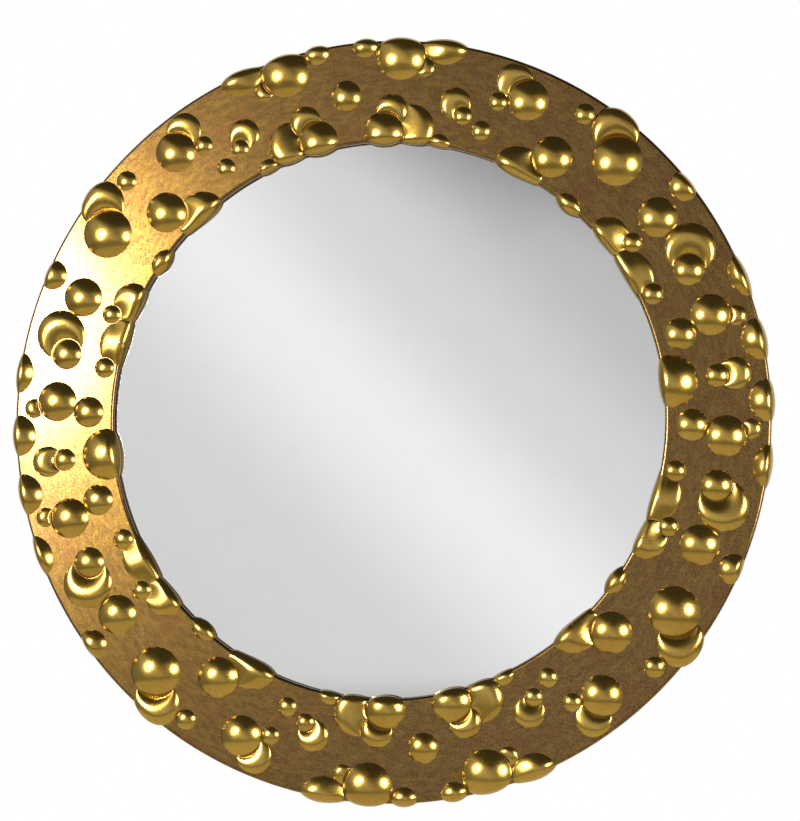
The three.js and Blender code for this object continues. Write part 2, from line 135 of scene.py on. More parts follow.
def maths(tree, operation, *terms):
    """One arithmetic step. A term is a number or the output of another node."""
    made = node(tree, "Math", operation=operation)
    for socket, term in zip(made.inputs, terms):
        if isinstance(term, (int, float)):
            socket.default_value = term
        else:
            tree.links.new(term, socket)
    return made.outputs[0]


def ramp(tree, source, stops):
    """Colours by value: stops are (position, grey) or (position, (r, g, b))."""
    made = node(tree, "ValToRGB", plugs={"Fac": source})
    made.color_ramp.interpolation = "EASE"
    while len(made.color_ramp.elements) < len(stops):
        made.color_ramp.elements.new(0.5)
    for element, (position, colour) in zip(made.color_ramp.elements, stops):
        element.position = position
        element.color = (*(colour if isinstance(colour, tuple) else (colour,) * 3), 1)
    return made.outputs["Color"]


def blend(tree, factor, first, second, kind="MIX"):
    """Two colours mixed. Each is a tuple or an output, and so is the factor."""
    made = node(tree, "Mix", data_type="RGBA", blend_type=kind)
    for key, value in ((0, factor), (6, first), (7, second)):
        if isinstance(value, tuple):
            made.inputs[key].default_value = (*value, 1)
        elif isinstance(value, (int, float)):
            made.inputs[key].default_value = value
        else:
            tree.links.new(value, made.inputs[key])
    return made.outputs[2]


def darkened(tree, colour, by):
    """A colour multiplied by another."""
    return blend(tree, 1.0, colour, by, "MULTIPLY")


def taken_apart(tree, vector):
    """The x, y and z of a vector."""
    return node(tree, "SeparateXYZ", plugs={0: vector}).outputs


def own_place(tree):
    """Where a point of the piece lies, in the piece's own axes."""
    return node(tree, "TexCoord").outputs["Object"]


def mirrored_ray(tree):
    """1 where the room is seen in gold or glass, and 0 where it is seen straight."""
    ray = node(tree, "LightPath").outputs
    return maths(tree, "MAXIMUM", ray["Is Glossy Ray"], ray["Is Transmission Ray"])


def camera_ray(tree):
    return node(tree, "LightPath").outputs["Is Camera Ray"]


def chosen(tree, factor, first, second):
    """The first shader where the factor is 0 and the second where it is 1."""
    both = node(tree, "MixShader", plugs={0: factor, 1: first, 2: second})
    return both.outputs[0]


def background(tree, colour):
    """A plain light of the world, from a tuple or an output."""
    made = node(tree, "Background", {"Strength": 1.0})
    if isinstance(colour, tuple):
        made.inputs["Color"].default_value = (*colour, 1)
    else:
        tree.links.new(colour, made.inputs["Color"])
    return made.outputs[0]


def new_finish(name):
    """A new material, with its node tree and its shader."""
    finish = bpy.data.materials.new(name)
    finish.use_nodes = True
    return finish, finish.node_tree, finish.node_tree.nodes["Principled BSDF"]


def dressed(tree, shader, colour, roughness):
    """Gives the shader its colour and its roughness."""
    tree.links.new(colour, shader.inputs["Base Color"])
    tree.links.new(roughness, shader.inputs["Roughness"])


def bumped(tree, shader, height, strength, depth):
    """Gives the shader a bump from a pattern. The depth is in metres."""
    values = {"Strength": strength, "Distance": depth}
    bump = node(tree, "Bump", values, {"Height": height})
    tree.links.new(bump.outputs[0], shader.inputs["Normal"])


# %% [markdown]
# The wall and the ceiling. The glass shows a soft pale band that runs from the upper left to the
# lower right, and the domes show a dark ceiling that comes down further on the right. Both are
# worked out from the direction one looks in: across is the distance from the band, in radians.

# %% The painted wall and ceiling
DEGREE = math.pi / 180
WHITE = (1, 1, 1)
BAND_TILT = 46 * DEGREE
BAND_SHIFT = 4 * DEGREE
BAND_SPAN = 80 * DEGREE
# Share of the span and brightness there
WALL_BAND = [(0, 0.4), (0.16, 0.66), (0.36, 0.73), (0.5, 0.95),
             (0.61, 0.74), (0.72, 0.57), (0.82, 0.33), (1, 0.5)]
# How far one looks down, as a sine, and how much of the wall's brightness is left
LOW_WALL = [(0.25, 1), (0.4, 0.42)]
CEILING = (0.07, 0.07, 0.07)
CEILING_EDGE = [(0.24, 0), (0.5, 1)]
CEILING_SLOPE = 0.45
# Where the white behind the mirror begins
BEHIND_EDGE = [(0.2, 0), (0.4, 1)]

world = bpy.data.worlds.new("studio")
scene.world = world
world.use_nodes = True
tree = world.node_tree
tree.nodes.clear()
x, y, z = taken_apart(tree, node(tree, "TexCoord").outputs["Generated"])
to_side = maths(tree, "ARCTAN2", x, maths(tree, "MULTIPLY", y, -1))
to_top = maths(tree, "ARCSINE", z)
across = maths(tree, "MULTIPLY_ADD", to_side, math.cos(BAND_TILT), BAND_SHIFT)
across = maths(tree, "MULTIPLY_ADD", to_top, math.sin(BAND_TILT), across)
wall = ramp(tree, maths(tree, "MULTIPLY_ADD", across, 1 / BAND_SPAN, 0.5), WALL_BAND)
low = ramp(tree, maths(tree, "MULTIPLY", z, -1), LOW_WALL)
wall = darkened(tree, wall, low)
height = maths(tree, "MULTIPLY_ADD", maths(tree, "MINIMUM", x, 0), CEILING_SLOPE, z)
room = blend(tree, ramp(tree, height, CEILING_EDGE), wall, CEILING)
around = blend(tree, ramp(tree, y, BEHIND_EDGE), room, WHITE)

# %% [markdown]
# What each kind of look at the world gives. Gold and glass show the painted room. The camera sees
# plain white. Dull surfaces are lit by a quiet grey that is stronger from behind the mirror,
# where the photograph's white backdrop would throw light back.

# %% The world's three sides
QUIET_LIGHT = [(0, 0.32), (0.5, 0.85)]

quiet = background(tree, ramp(tree, y, QUIET_LIGHT))
lit = chosen(tree, mirrored_ray(tree), quiet, background(tree, around))
seen = chosen(tree, camera_ray(tree), lit, background(tree, WHITE))
node(tree, "OutputWorld", plugs={"Surface": seen})

# %% [markdown]
# The floor. The lower third of each dome shows it as a warm gold field with a clear line where
# it ends. In gold and glass the floor is not lit by the lamps but shows a painted glow: a pale
# pool of painted light near the mirror, which ends at that line, and further away the floor
# fades out into the room, because the glass shows no line at its foot. Seen straight by the
# camera it is a pale studio floor with the mirror's shadow, which fades to white at its ends.

# %% Floor
FLOOR_LEVEL = MIRROR_MIDDLE.z - 1.3
FLOOR_SIDE, FLOOR_FRONT, FLOOR_BACK = 4.5, -7, 4.5
FLOOR_COLOUR = (0.8, 0.78, 0.74, 1)
FLOOR_GLOW_COLOUR = (1, 0.98, 0.95, 1)
FLOOR_GLOW, FLOOR_GLOW_AT_ENDS = 0.35, 0.95
# The ramps run from the mirror's foot to this distance, and reach counts less to the sides
FLOOR_RAMP_LENGTH = 4
SIDE_REACH = 0.8
# Share of the ramp's length and the painted glow that gold and glass see there: the pale pool
# of painted light, its end and the dark floor
PAINTED_FLOOR_GLOW = [(0, (0.93, 0.85, 0.64)), (0.4255, (0.86, 0.79, 0.58)),
                  (0.518, (0.33, 0.34, 0.27))]
FAR_FLOOR = [(0.6, 0), (0.95, 1)]

floor_mesh = bpy.data.meshes.new("floor")
corners = [(-FLOOR_SIDE, FLOOR_FRONT), (FLOOR_SIDE, FLOOR_FRONT),
           (FLOOR_SIDE, FLOOR_BACK), (-FLOOR_SIDE, FLOOR_BACK)]
floor_mesh.from_pydata([(x, y, FLOOR_LEVEL) for x, y in corners], [], [(0, 1, 2, 3)])
floor = bpy.data.objects.new("floor", floor_mesh)
scene.collection.objects.link(floor)
finish, tree, shader = new_finish("pale_floor")
flat_place = node(tree, "VectorMath", {1: (SIDE_REACH, 1, 0)}, {0: own_place(tree)},
                  operation="MULTIPLY").outputs[0]
reach = node(tree, "VectorMath", plugs={0: flat_place}, operation="LENGTH")
share = maths(tree, "MULTIPLY", reach.outputs["Value"], 1 / FLOOR_RAMP_LENGTH)
far = ramp(tree, share, FAR_FLOOR)

shader.inputs["Base Color"].default_value = FLOOR_COLOUR
shader.inputs["Roughness"].default_value = 0.9
shader.inputs["Emission Color"].default_value = FLOOR_GLOW_COLOUR
glow = maths(tree, "MULTIPLY_ADD", far, FLOOR_GLOW_AT_ENDS - FLOOR_GLOW, FLOOR_GLOW)
seen_glow = maths(tree, "MULTIPLY", camera_ray(tree), glow)
tree.links.new(seen_glow, shader.inputs["Emission Strength"])

# Painted glow: what gold and glass see of the floor is this emission, not the lamps' light
painted_floor_light = ramp(tree, share, PAINTED_FLOOR_GLOW)
pale = node(tree, "Emission", {"Strength": 1.0}, {"Color": painted_floor_light})
nothing = node(tree, "BsdfTransparent").outputs[0]
faded = chosen(tree, far, pale.outputs[0], nothing)
surface = chosen(tree, mirrored_ray(tree), shader.outputs[0], faded)
tree.links.new(surface, tree.nodes["Material Output"].inputs["Surface"])
floor_mesh.materials.append(finish)

# %% [markdown]
# The ring's own measures. The real ring is a casting in four quarters, and each quarter is the
# mirror image of its neighbours, so one quarter is made and then copied. Sizes are millimetres
# here, on the mirror's own axes: x to the right, y up and z towards the room. The domes here are
# far smoother than the measured ones, whose corners stop short of the true curve, so they are
# kept a hair lower and stand out a little less to stay within the measured box.

# %% Ring sizes and the domes of one quarter
SIGHT_RADIUS = 365
BAND_WIDTH = 135
RING_RADIUS = SIGHT_RADIUS + BAND_WIDTH
EDGE_ROUND = 4
FACE_Z = 49.6
CASTING_BACK_Z = 25.6
LIP_DEPTH = 7
LIP_BACK_Z = FACE_Z - LIP_DEPTH
REBATE_RADIUS = 378
SEAM = 0.03
PATTERN_TURN = math.radians(6.8)
DOME_EDGE_ANGLE = math.radians(44.9)
OVERHANG_SHARE = 0.83

# name: (angle in degrees, place across the band from 0 inside to 1 outside, radius, how far it
# stands out past the edge, domes in front of it)
DOMES = {
    "level_inner": (0, 0.078, 34, 8.5),
    "level_outer": (0, 0.689, 20.5, 0, "level_middle"),
    "level_middle": (0, 0.515, 15),
    "rim_bowl": (4.6, 1, 28.5, 6.5),
    "rim_bead": (8.9, 0.811, 13, 0, "first_ball"),
    "first_ball": (10.2, 0.578, 26.5),
    "first_mate": (8.5, 0.252, 20.5),
    "rim_sliver": (14.3, 1.096, 33, 6.5),
    "moon_ball": (18.6, 0.548, 20.5),
    "moon": (21.6, 0.652, 33, 0, "moon_ball"),
    "sight_bead": (17.4, 0.141, 13.5),
    "sight_swell": (22.8, -0.004, 34.5, 11.5, "sight_bead", "valley_bead"),
    "valley_bead": (27.9, 0.222, 12.5),
    "rim_egg": (30.4, 0.937, 20, 3),
    "second_ball": (28.9, 0.556, 26),
    "sight_shoulder": (31.6, 0.067, 26.5, 6, "valley_bead"),
    "great_ball": (40.6, 0.637, 33),
    "great_moon": (44, 0.863, 31.5, 13.5, "great_ball"),
    "stray_bead": (49.4, 0.811, 13.5),
    "sight_almond": (42, -0.056, 22, 11),
    "third_ball": (50.1, 0.293, 27),
    "sight_wave": (54.6, -0.004, 34.5, 13, "third_ball"),
    "fourth_ball": (58.6, 0.674, 27),
    "small_moon": (61.8, 0.8, 23.5, 0, "fourth_ball", "moon_bead"),
    "moon_bead": (63.2, 0.559, 12),
    "lone_bead": (64.4, 0.241, 12.5),
    "cup_bead": (68.5, 0.333, 12),
    "cup": (70.4, 0.437, 20.5, 0, "cup_bead"),
    "rim_loaf": (73.8, 1.019, 31, 11, "crown"),
    "crown_bead": (76.5, 0.744, 12.5, 0, "crown", "rim_loaf"),
    "crown": (80.6, 0.848, 32.5, 7),
    "rim_pearl": (86.2, 0.97, 17.5, 7),
    "sight_lens": (71.9, -0.004, 15.5, 4, "sight_hill"),
    "sight_hill": (77.9, 0.144, 30.5, 7, "sight_pearl", "sight_moon"),
    "sight_moon": (81.8, 0.319, 20.5, 0, "sight_pearl"),
    "sight_pearl": (83.4, 0.1, 26, 7),
    "upright_ball": (90, 0.485, 20),
}
print(len(DOMES), "domes in one quarter")

# %% [markdown]
# The surface that the domes sit on is the flat face, its two rounded edges and the side walls.
# A dome near an edge flows over it. The easy way to get that is to lay each dome out on a flat
# sheet first and then to fold the sheet over the edge, carrying the dome's height along the
# surface's own direction. A plain round fold begins with a jerk, which pinches the highlights of
# the domes, so this one begins and ends softly.

# %% Folding the face over the ring's edges
FOLD_LENGTH = 16
FOLD_STEPS = 200

fold_share = np.linspace(0, 1, FOLD_STEPS + 1)
fold_bend = math.pi / 2 * fold_share ** 2 * (3 - 2 * fold_share)
mid_bend = (fold_bend[1:] + fold_bend[:-1]) / 2
fold_forward = np.concatenate([[0], np.cumsum(np.cos(mid_bend))]) * FOLD_LENGTH / FOLD_STEPS
fold_down = np.concatenate([[0], np.cumsum(np.sin(mid_bend))]) * FOLD_LENGTH / FOLD_STEPS


def fold_over_edges(distance):
    """Where a point of the flat sheet ends up: its radius, its level and its outward direction."""
    flat_end, flat_start = RING_RADIUS - fold_forward[-1], SIGHT_RADIUS + fold_forward[-1]
    past = np.maximum(np.maximum(distance - flat_end, flat_start - distance), 0)
    side = np.where(distance > flat_end, 1.0, -1.0)
    share = np.minimum(past / FOLD_LENGTH, 1)
    bend = np.interp(share, fold_share, fold_bend)
    start = np.where(side > 0, flat_end, flat_start)
    forward = np.interp(share, fold_share, fold_forward)
    radius = np.where(past > 0, start + side * forward, distance)
    level = FACE_Z - np.interp(share, fold_share, fold_down) - np.maximum(past - FOLD_LENGTH, 0)
    return radius, level, side * np.sin(bend), np.cos(bend)


def cap_height(size, room):
    """Height of a ball's cap whose outline has this radius. room is size² less the distance² from
    the middle, and is negative outside the outline."""
    drop = size / math.tan(DOME_EDGE_ANGLE)
    return np.sqrt(np.maximum(drop * drop + room, 0)) - drop


def dome_place(name):
    """A dome's middle, its distance from the mirror's axis, and its radius."""
    angle, across, size = DOMES[name][:3]
    out = SIGHT_RADIUS + across * BAND_WIDTH
    return out * math.cos(math.radians(angle)), out * math.sin(math.radians(angle)), out, size


# %% [markdown]
# One dome is a cap of a ball. Where another dome stands in front of it, the dome behind drops to
# the face all along the front dome's outline, so it becomes a soft crescent. The height comes
# from two distances, one to each outline, blended so that it is nought on both.

# %% A dome as a closed solid
# A dome's solid goes this far below the face, and where it is cut away it dips nearly as far
SINK = 3.0
DEEPEST_DIP = 0.7 * SINK
# A front dome's outline is taken this much wider, which leaves a fine line of leaf round it
HALO = 0.35
# Domes larger than this radius get so many points round them and so many rings of points
FINENESS = [(24, 96, 22), (14, 72, 16), (0, 56, 12)]
TINY = 1e-6


def dome_solid(name):
    """Vertices and faces of one dome, closed below, on the mirror's own axes."""
    row = DOMES[name]
    x0, y0, out, size = dome_place(name)
    overhang = row[3] if len(row) > 3 else 0
    fronts = row[4:]
    around, rings = next(counts for least, *counts in FINENESS if size > least)
    turn = np.linspace(0, 2 * math.pi, around, endpoint=False)
    share = np.sin(np.linspace(0, math.pi / 2, rings + 1))[1:]
    away = np.concatenate([[0.0], np.repeat(share * size, around)])
    way = np.concatenate([[0.0], np.tile(turn, rings)])
    x, y = x0 + away * np.cos(way), y0 + away * np.sin(way)

    room = size * size - away * away
    least_front = np.full(len(x), np.inf)
    shrink = 1 / np.maximum(room, TINY)
    for front in fronts:
        fx, fy, _, front_size = dome_place(front)
        front_room = (x - fx) ** 2 + (y - fy) ** 2 - (front_size + HALO) ** 2
        least_front = np.minimum(least_front, front_room)
        shrink = shrink + 1 / np.maximum(front_room, TINY)
    height = cap_height(size, 1 / shrink)
    height = np.where(least_front < 0, np.maximum(least_front / size, -DEEPEST_DIP), height)
    height[-around:] = 0

    swell = 1.0
    if overhang:
        to_edge = min(max(RING_RADIUS - out, 0), max(out - SIGHT_RADIUS, 0))
        swell = OVERHANG_SHARE * overhang / cap_height(size, size * size - to_edge * to_edge)
    radius, level, normal_out, normal_up = fold_over_edges(np.hypot(x, y))
    direction = np.arctan2(y, x)

    def lifted(h):
        r = radius + h * normal_out * np.where(h > 0, swell, 1)
        return np.stack([r * np.cos(direction), r * np.sin(direction), level + h * normal_up], 1)

    top, bottom = lifted(height), lifted(np.full(len(x), -SINK))
    points = np.concatenate([top, bottom])
    under = len(top)
    faces = []
    for i in range(around):
        j = (i + 1) % around
        faces.append((0, 1 + i, 1 + j))
        faces.append((under, under + 1 + j, under + 1 + i))
        for ring in range(rings - 1):
            a, b = 1 + ring * around, 1 + (ring + 1) * around
            faces.append((a + i, b + i, b + j, a + j))
            faces.append((under + a + i, under + a + j, under + b + j, under + b + i))
        last = 1 + (rings - 1) * around
        faces.append((last + i, under + last + i, under + last + j, last + j))
    return points, faces


# %% [markdown]
# The flat ring itself, and the two rough blocks that trim it. All three are a section turned
# about the mirror's axis. The wedge keeps only what lies between the pattern's two axes, less
# half a seam on each side, and the room solid gives the castings their stepped back.

# %% Ring blank, trimming solids and booleans
FULL_TURN = 2 * math.pi
RING_STEPS = 720
# The blank goes past the quarter by a degree, or two steps, at each end. The trimming solids
# reach well past the casting.
OVERLAP = math.radians(1)
OVERLAP_STEPS = 4
BELOW_CASTING = 5
TRIM_INSIDE, TRIM_OUTSIDE, TRIM_TOP = 300, 560, 110
WEDGE_REACH = 700
WEDGE_LEVELS = (-10, 130)


def turned_solid(section, steps=RING_STEPS, start=0.0, sweep=FULL_TURN):
    """A closed section of (radius, level) points, turned about the axis."""
    closed = sweep == FULL_TURN
    count = steps if closed else steps + 1
    turn = start + np.linspace(0, sweep, steps + 1)[:count]
    points = []
    for radius, level in section:
        x, y = radius * np.cos(turn), radius * np.sin(turn)
        points.append(np.stack([x, y, np.full(count, level)], 1))
    points = np.concatenate(points)
    faces = []
    size = len(section)
    for s in range(size):
        n = (s + 1) % size
        for i in range(steps):
            j = (i + 1) % count
            faces.append((s * count + i, s * count + j, n * count + j, n * count + i))
    if not closed:
        faces.append(tuple(s * count for s in range(size)))
        faces.append(tuple(s * count + count - 1 for s in reversed(range(size))))
    return points, faces


def band(a, b, count):
    """Faces between two closed loops of points, which begin at a and at b."""
    return [(a + i, a + (i + 1) % count, b + (i + 1) % count, b + i) for i in range(count)]


def mesh_of(name, points, faces, material_index=0, weld=0):
    """A mesh with its faces turned outwards. weld joins points that are closer than that."""
    mesh = bpy.data.meshes.new(name)
    mesh.from_pydata([tuple(p) for p in points], [], faces)
    mesh.polygons.foreach_set("material_index", [material_index] * len(mesh.polygons))
    shape = bmesh.new()
    shape.from_mesh(mesh)
    if weld:
        bmesh.ops.remove_doubles(shape, verts=shape.verts, dist=weld)
    bmesh.ops.recalc_face_normals(shape, faces=shape.faces)
    shape.to_mesh(mesh)
    shape.free()
    mesh.validate()
    return mesh


def prism(name, first, last):
    """A closed solid between two outlines with the same number of points."""
    count = len(first)
    ends = [tuple(range(count)), tuple(range(count, 2 * count))]
    return mesh_of(name, [*first, *last], [*ends, *band(0, count, count)])


def combined(mesh, steps):
    """The mesh after a list of (operation, other mesh) booleans."""
    body = bpy.data.objects.new("rough", mesh)
    scene.collection.objects.link(body)
    tools = []
    for operation, other in steps:
        tool = bpy.data.objects.new("tool", other)
        scene.collection.objects.link(tool)
        tools.append(tool)
        cut = body.modifiers.new("cut", "BOOLEAN")
        cut.operation, cut.object, cut.solver = operation, tool, "MANIFOLD"
    graph = bpy.context.evaluated_depsgraph_get()
    result = bpy.data.meshes.new_from_object(body.evaluated_get(graph))
    for item in [body, *tools]:
        used = item.data
        bpy.data.objects.remove(item)
        bpy.data.meshes.remove(used)
    return result


def edge_arc(radius, side, steps=6):
    """Points of the rounded edge, from the face to the wall. side is 1 for the outer edge."""
    arc = []
    for k in range(steps + 1):
        bend = k / steps * math.pi / 2
        inwards, down = 1 - math.sin(bend), 1 - math.cos(bend)
        arc.append((radius - side * EDGE_ROUND * inwards, FACE_Z - EDGE_ROUND * down))
    return arc


def blank_section():
    """The ring's section with its two rounded edges, deeper than the casting."""
    below = CASTING_BACK_Z - BELOW_CASTING
    inner = [(2 * SIGHT_RADIUS - r, z) for r, z in edge_arc(SIGHT_RADIUS, 1)]
    outer = reversed(edge_arc(RING_RADIUS, 1))
    return [(SIGHT_RADIUS, below), (RING_RADIUS, below), *outer, *inner]


def quarter_mesh():
    """One casting, between the pattern's level axis and its upright axis."""
    steps, sweep = RING_STEPS // 4 + OVERLAP_STEPS, math.pi / 2 + 2 * OVERLAP
    blank = mesh_of("blank", *turned_solid(blank_section(), steps, -OVERLAP, sweep))
    room_section = [(TRIM_INSIDE, LIP_BACK_Z), (REBATE_RADIUS, LIP_BACK_Z),
                    (REBATE_RADIUS, CASTING_BACK_Z), (TRIM_OUTSIDE, CASTING_BACK_Z),
                    (TRIM_OUTSIDE, TRIM_TOP), (TRIM_INSIDE, TRIM_TOP)]
    room = mesh_of("room", *turned_solid(room_section))
    low, high = SEAM / 2, WEDGE_REACH
    square = ((low, low), (high, low), (high, high), (low, high))
    corners = [(x, y, z) for z in WEDGE_LEVELS for x, y in square]
    sides = [(0, 3, 2, 1), (4, 5, 6, 7), (0, 1, 5, 4), (1, 2, 6, 5), (2, 3, 7, 6), (3, 0, 4, 7)]
    wedge = mesh_of("wedge", corners, sides)
    domes = [("UNION", mesh_of(name, *dome_solid(name), material_index=1)) for name in DOMES]
    return combined(blank, [*domes, ("INTERSECT", room), ("INTERSECT", wedge)])


# %% [markdown]
# Patterns for the two gold finishes. The gilder's brush and cloth go round the ring, so the
# patterns are laid out along the ring and across it.

# %% Patterns that follow the ring
# The usual soft step between two tones
CLOUDY = [(0.35, 0), (0.65, 1)]


def along_the_ring(tree):
    """A vector whose x runs round the ring and whose y runs outwards, both in metres."""
    x, y, z = taken_apart(tree, own_place(tree))
    rise = maths(tree, "SUBTRACT", z, MIRROR_MIDDLE.z)
    turn = maths(tree, "ARCTAN2", rise, x)
    squares = maths(tree, "MULTIPLY_ADD", x, x, maths(tree, "MULTIPLY", rise, rise))
    out = maths(tree, "SQRT", squares)
    middle = (SIGHT_RADIUS + BAND_WIDTH / 2) * MM
    along = maths(tree, "MULTIPLY", turn, middle)
    return node(tree, "CombineXYZ", plugs={0: along, 1: out, 2: y}).outputs[0]


def grain(tree, place, scale, detail=3.0, roughness=0.55, stretch=(1, 1, 1)):
    """Noise with about scale features in a metre. stretch packs more of them along an axis."""
    packed = node(tree, "VectorMath", {1: stretch}, {0: place}, operation="MULTIPLY")
    values = {"Scale": scale, "Detail": detail, "Roughness": roughness}
    return node(tree, "TexNoise", values, {"Vector": packed.outputs[0]}).outputs["Fac"]


def openness(tree, distance):
    """1 on open faces and less in creases that are narrower than the distance."""
    made = node(tree, "AmbientOcclusion", {"Distance": distance}, samples=8,
                only_local=True)
    return made.outputs["AO"]


# %% [markdown]
# The flat face is leaf laid over red clay and toned down with a brown glaze. One colour with a
# bump looks like paint, so the tone, the clay that shows through, the speckle of the glaze and
# the darkening in the creases, partly glaze resting there and partly painted shade, are separate
# patterns laid over each other.

# %% Gold leaf on the flat face
LEAF_GOLD = (0.19, 0.101, 0.014)
LEAF_SHADE = (0.115, 0.058, 0.008)
CLAY = (0.145, 0.055, 0.011)

leaf, tree, shader = new_finish("gold_leaf_face")
ring_place = along_the_ring(tree)
speckle = grain(tree, ring_place, 420, 4, 0.65)
brushed = grain(tree, ring_place, 75, 4, 0.65, (1, 2.2, 1))
patches = grain(tree, ring_place, 34, 3, 0.6)
tone = blend(tree, ramp(tree, brushed, [(0.3, 0), (0.7, 1)]), LEAF_SHADE, LEAF_GOLD)
tone = blend(tree, ramp(tree, patches, [(0.5, 0), (0.7, 0.6)]), tone, CLAY)
tone = darkened(tree, tone, ramp(tree, speckle, [(0.3, 0.72), (0.7, 1.25)]))
# Painted shade in the creases, partly as brown glaze that rests there
crease_glaze_and_shade = ramp(tree, openness(tree, 0.007), [(0.35, 0.35), (0.8, 1)])
tone = darkened(tree, tone, crease_glaze_and_shade)
dressed(tree, shader, tone, ramp(tree, speckle, [(0.3, 0.28), (0.7, 0.2)]))
shader.inputs["Metallic"].default_value = 1
tree.links.new(ramp(tree, speckle, [(0.34, 0.2), (0.56, 0.75)]), shader.inputs["Coat Weight"])
shader.inputs["Coat Roughness"].default_value = 0.15
bumped(tree, shader, maths(tree, "MULTIPLY_ADD", speckle, 0.5, brushed), 0.25, 0.0006)

# %% [markdown]
# The domes are burnished and much brighter. A burnished surface still has faint rubbing marks, a
# darker crease round its foot, partly glaze left there and partly painted shade, and a slow change
# of tone. The varnish over it adds the small white heart of each highlight.

# %% Polished gold on the domes
POLISHED_GOLD = (0.42, 0.27, 0.046)
POLISHED_WARM = (0.38, 0.23, 0.036)

polished, tree, shader = new_finish("polished_gold")
ring_place = along_the_ring(tree)
rubbing = grain(tree, ring_place, 260, 4, 0.6)
slow = grain(tree, ring_place, 18, 2, 0.5)
tone = blend(tree, ramp(tree, slow, CLOUDY), POLISHED_GOLD, POLISHED_WARM)
tone = darkened(tree, tone, ramp(tree, rubbing, [(0.3, 0.9), (0.7, 1.04)]))
# Painted shade in the crease round each dome's foot, partly as glaze left there
crease_glaze_and_shade = ramp(tree, openness(tree, 0.003), [(0.35, 0.3), (0.75, 1)])
tone = darkened(tree, tone, crease_glaze_and_shade)
dressed(tree, shader, tone, ramp(tree, rubbing, [(0.3, 0.25), (0.7, 0.18)]))
shader.inputs["Metallic"].default_value = 1
shader.inputs["Coat Weight"].default_value = 0.5
shader.inputs["Coat Roughness"].default_value = 0.1
bumped(tree, shader, rubbing, 0.08, 0.0004)

# %% [markdown]
# Now the quarter is made: the blank, then all domes joined to it, then the two trims. The solver
# remembers which face came from which solid, and that is how the domes get their own finish.

# %% One quarter, with both finishes
quarter = quarter_mesh()
which = np.empty(len(quarter.polygons), dtype=np.int32)
quarter.polygons.foreach_get("material_index", which)
quarter.materials.clear()
quarter.materials.append(leaf)
quarter.materials.append(polished)
quarter.polygons.foreach_set("material_index", which)
print("one casting:", len(quarter.vertices), "points,", len(quarter.polygons), "faces")

# %% [markdown]
# The quarter becomes four castings. Two of them are its mirror image, which also turns their
# faces inside out, so those are turned back. The curved parts are smoothed and the flat face is
# not, or the shading of the domes would bleed into it.

# %% Four castings from one quarter
SHARP_CREASE = math.radians(28)
# A face whose direction has more than this along the mirror's axis is flat
FLAT = 0.9999


def turned(points, angle):
    """Points turned about the mirror's axis."""
    c, s = math.cos(angle), math.sin(angle)
    x, y, z = points.T
    return np.stack([x * c - y * s, x * s + y * c, z], 1)


def to_frame(points):
    """From the mirror's own axes in millimetres to the frame's axes in metres."""
    x, y, z = points.T
    return np.stack([x * MM, -z * MM, y * MM + MIRROR_MIDDLE.z], 1)


def points_of(mesh):
    """A mesh's points as rows of x, y and z."""
    points = np.empty(len(mesh.vertices) * 3)
    mesh.vertices.foreach_get("co", points)
    return points.reshape(-1, 3)


def move_points(mesh, points):
    """Puts a mesh's points in new places."""
    mesh.vertices.foreach_set("co", points.astype(np.float32).ravel())
    mesh.update()


def linked(name, mesh):
    """A new object in the scene."""
    piece = bpy.data.objects.new(name, mesh)
    scene.collection.objects.link(piece)
    return piece


def casting(name, flipped, turn):
    """One casting, made from the quarter or from its mirror image."""
    mesh = quarter.copy()
    mesh.name = name
    points = points_of(mesh)
    if flipped:
        points[:, 0] *= -1
        mesh.flip_normals()
    move_points(mesh, to_frame(turned(points, turn)))
    mesh.shade_smooth()
    mesh.set_sharp_from_angle(angle=SHARP_CREASE)
    curved = [abs(polygon.normal.y) < FLAT for polygon in mesh.polygons]
    mesh.polygons.foreach_set("use_smooth", curved)
    return linked(name, mesh)


# Whether it is the mirror image, and how far it is turned
CASTINGS = {
    "upper_right": (False, 0),
    "upper_left": (True, 0),
    "lower_left": (False, math.pi),
    "lower_right": (True, math.pi),
}
for name, (flipped, turn) in CASTINGS.items():
    piece = casting(f"gold_ring_{name}", flipped, PATTERN_TURN + turn)
    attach(piece, "frame")
    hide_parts(f"relief_casting_{name}")

# %% [markdown]
# The glass: a shallow bowl of silvered glass that bulges towards the room, as on a butler's
# mirror, so that it shows the whole room at once. It is a section turned about the axis. The
# silvering is nearly perfect, so its finish is a bright metal with only a breath of haze, a
# little uneven as on any wiped glass, and it darkens at the cut edge.

# %% Mirror glass
# Pieces that rest on each other are kept this far apart
GAP = 0.3
CUSHION_THICKNESS = 1.5
CUSHION_INSIDE = 367
GLASS_RADIUS = 376
GLASS_BULGE = 22
GLASS_THICKNESS = 4
GLASS_RINGS, GLASS_STEPS = 24, 240
GLASS_CURVE = (GLASS_RADIUS ** 2 + GLASS_BULGE ** 2) / (2 * GLASS_BULGE)


def glass_drop(radius):
    """How far the glass lies behind its own middle at this radius."""
    return GLASS_CURVE - math.sqrt(GLASS_CURVE ** 2 - radius ** 2)


seat = LIP_BACK_Z - GAP - CUSHION_THICKNESS - GAP
glass_middle = seat + glass_drop(CUSHION_INSIDE)
stations = [GLASS_RADIUS * k / GLASS_RINGS for k in range(GLASS_RINGS + 1)]
section = [(r, glass_middle - GLASS_THICKNESS - glass_drop(r)) for r in stations]
section += [(r, glass_middle - glass_drop(r)) for r in reversed(stations)]
points, faces = turned_solid(section, GLASS_STEPS)
glass_mesh = mesh_of("mirror_glass_bright", to_frame(points), faces, weld=1e-6)
glass_mesh.shade_smooth()
glass_mesh.set_sharp_from_angle(angle=math.radians(40))
glass = linked("mirror_glass_bright", glass_mesh)

